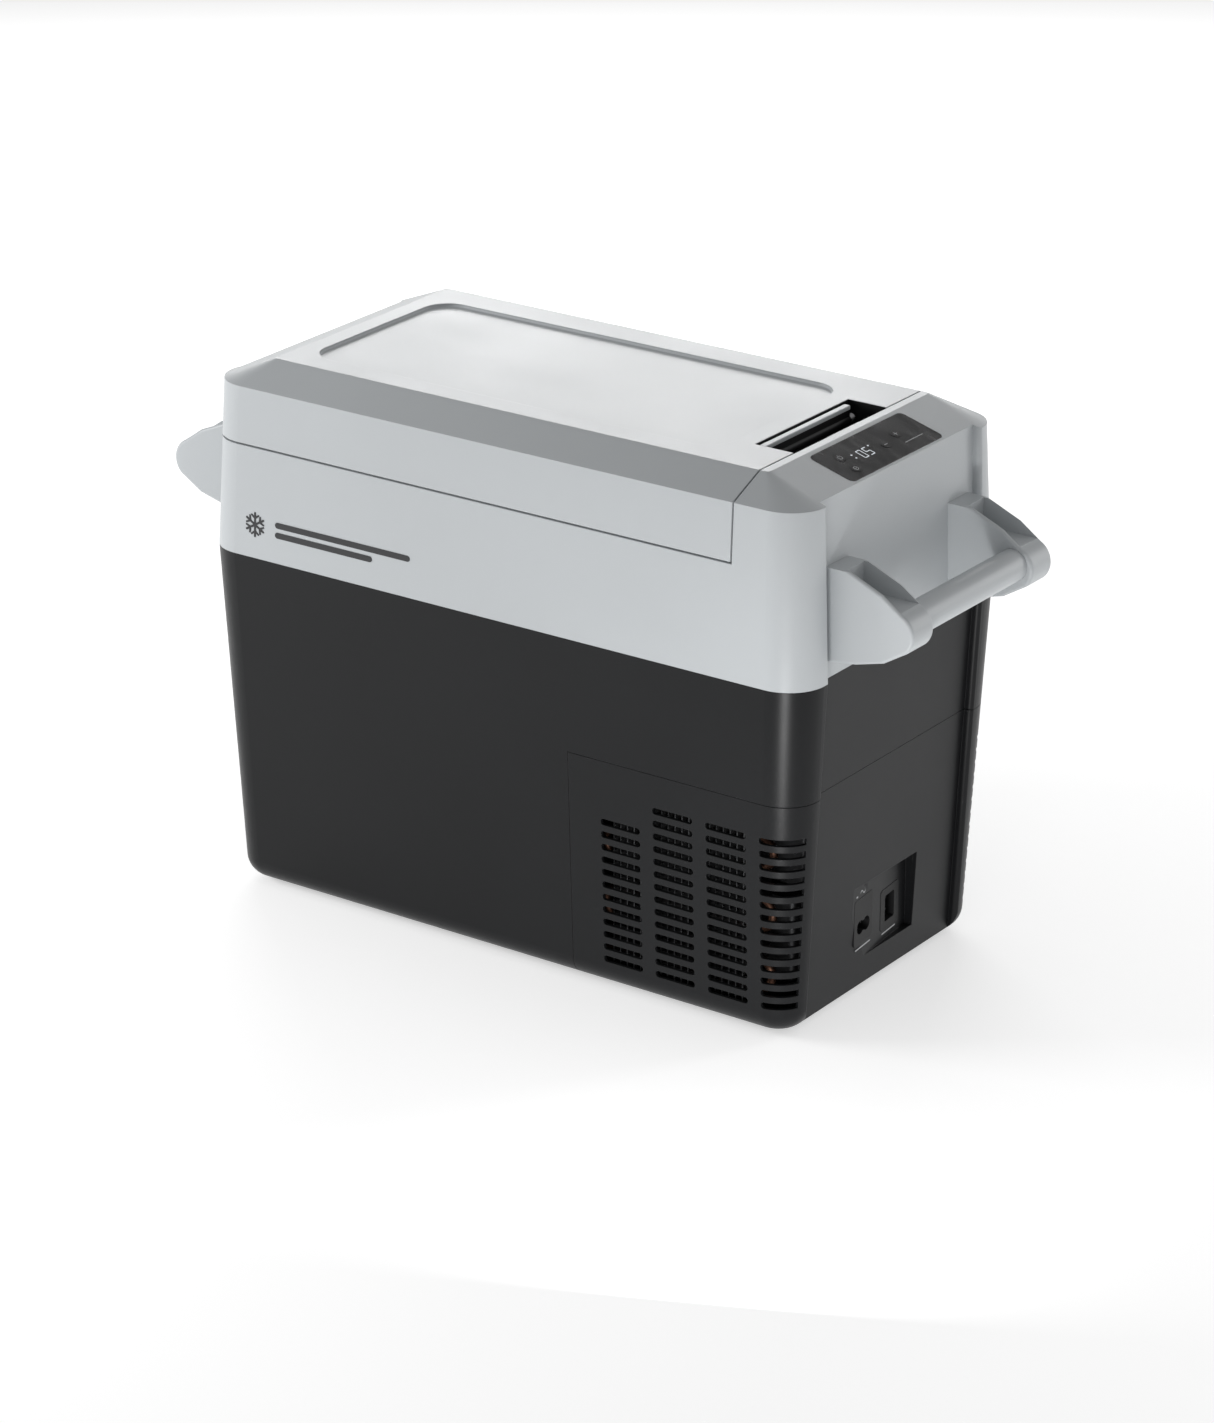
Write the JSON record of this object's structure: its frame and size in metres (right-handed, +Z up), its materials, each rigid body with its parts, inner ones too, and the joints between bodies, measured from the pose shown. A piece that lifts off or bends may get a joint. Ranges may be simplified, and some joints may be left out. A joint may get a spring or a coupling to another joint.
{
  "type": "compressor cooler fridge",
  "caption": "Chest-type portable fridge: tapered two-tone case with end handles, hinged latching lid, control panel, insulated compartment and a vented machine bay.",
  "frame": {"origin": "centre of the bounding box's base, on the plane that the rubber feet stand on", "axes": "+X along the length towards the control panel end, -Y the front with its air slots, +Z up"},
  "size_m": [0.6668, 0.2792, 0.423],
  "materials": {
    "light_shell": "satin",
    "dark_shell": "satin",
    "gloss_black": "gloss",
    "black_rubber": "matte",
    "liner_plastic": "satin",
    "rigid_foam": "matte",
    "socket_black": "satin",
    "circuit_board": "satin",
    "steel_parts": "satin",
    "aluminium_parts": "satin",
    "copper": "satin",
    "black_enamel": "gloss"
  },
  "bodies": {
    "cabinet": {"ac_inlet": "socket_black", "base_plate": "dark_shell", "base_screws": "steel_parts", "board_carrier": "socket_black", "body_foam": "rigid_foam", "capillary_line": "copper", "compressor_bolts": "steel_parts", "compressor_bracket": "black_enamel", "compressor_driver": "aluminium_parts", "compressor_grommets": "black_rubber", "compressor_lower_shell": "black_enamel", "compressor_upper_shell": "black_enamel", "condenser_fins": "aluminium_parts", "condenser_tube": "copper", "control_overlay": "gloss_black", "dc_socket": "socket_black", "discharge_line": "copper", "display_board": "circuit_board", "evaporator_tube": "aluminium_parts", "fan_frame": "socket_black", "fan_screws": "steel_parts", "filter_drier": "copper", "handle_left_arms": "light_shell", "handle_left_bar": "light_shell", "handle_right_arms": "light_shell", "handle_right_bar": "light_shell", "handle_screws": "steel_parts", "hinge_cabinet_leaves": "light_shell", "hinge_pins": "steel_parts", "inlet_leads": "black_rubber", "inner_liner": "liner_plastic", "latch_striker": "light_shell", "liquid_line": "copper", "lower_shell": "dark_shell", "machine_cover": "dark_shell", "power_supply": "aluminium_parts", "rubber_feet": "black_rubber", "suction_line": "copper", "temperature_sensor": "liner_plastic", "upper_shell": "light_shell"},
    "lid": {"lid_shell": "light_shell", "lid_liner": "liner_plastic", "lid_gasket": "black_rubber", "lid_foam": "rigid_foam", "hinge_lid_leaves": "light_shell", "latch_pin": "steel_parts", "latch_spring": "steel_parts"},
    "lever": {"latch_lever": "socket_black"},
    "fan": {"fan_rotor": "socket_black"},
    "button_power": {"power_button": "gloss_black"},
    "button_set": {"set_button": "gloss_black"},
    "button_minus": {"minus_button": "gloss_black"},
    "button_plus": {"plus_button": "gloss_black"}
  },
  "joints": [
    {"name": "lid_hinge", "type": "hinge", "parent": "cabinet", "child": "lid", "pos_m": [-0.2695, 0, 0.364], "axis": [0, -1, 0], "range_deg": [0, 100]},
    {"name": "latch_pull", "type": "hinge", "parent": "lid", "child": "lever", "pos_m": [0.1795, 0.0055, 0.411], "axis": [0, 1, 0], "range_deg": [0, 13], "stiffness_Nm_per_rad": 0.6, "springref_deg": -8.59},
    {"name": "fan_spin", "type": "hinge", "parent": "cabinet", "child": "fan", "pos_m": [0.158, -0.0845, 0.09], "axis": [0, 1, 0], "continuous": true},
    {"name": "power_press", "type": "slide", "parent": "cabinet", "child": "button_power", "axis": [-0.2755, 0, -0.9613], "range_m": [0, 0.0005], "stiffness_N_per_m": 400, "springref_m": -0.0005},
    {"name": "set_press", "type": "slide", "parent": "cabinet", "child": "button_set", "axis": [-0.2755, 0, -0.9613], "range_m": [0, 0.0005], "stiffness_N_per_m": 400, "springref_m": -0.0005},
    {"name": "minus_press", "type": "slide", "parent": "cabinet", "child": "button_minus", "axis": [-0.2755, 0, -0.9613], "range_m": [0, 0.0005], "stiffness_N_per_m": 400, "springref_m": -0.0005},
    {"name": "plus_press", "type": "slide", "parent": "cabinet", "child": "button_plus", "axis": [-0.2755, 0, -0.9613], "range_m": [0, 0.0005], "stiffness_N_per_m": 400, "springref_m": -0.0005}
  ]
}
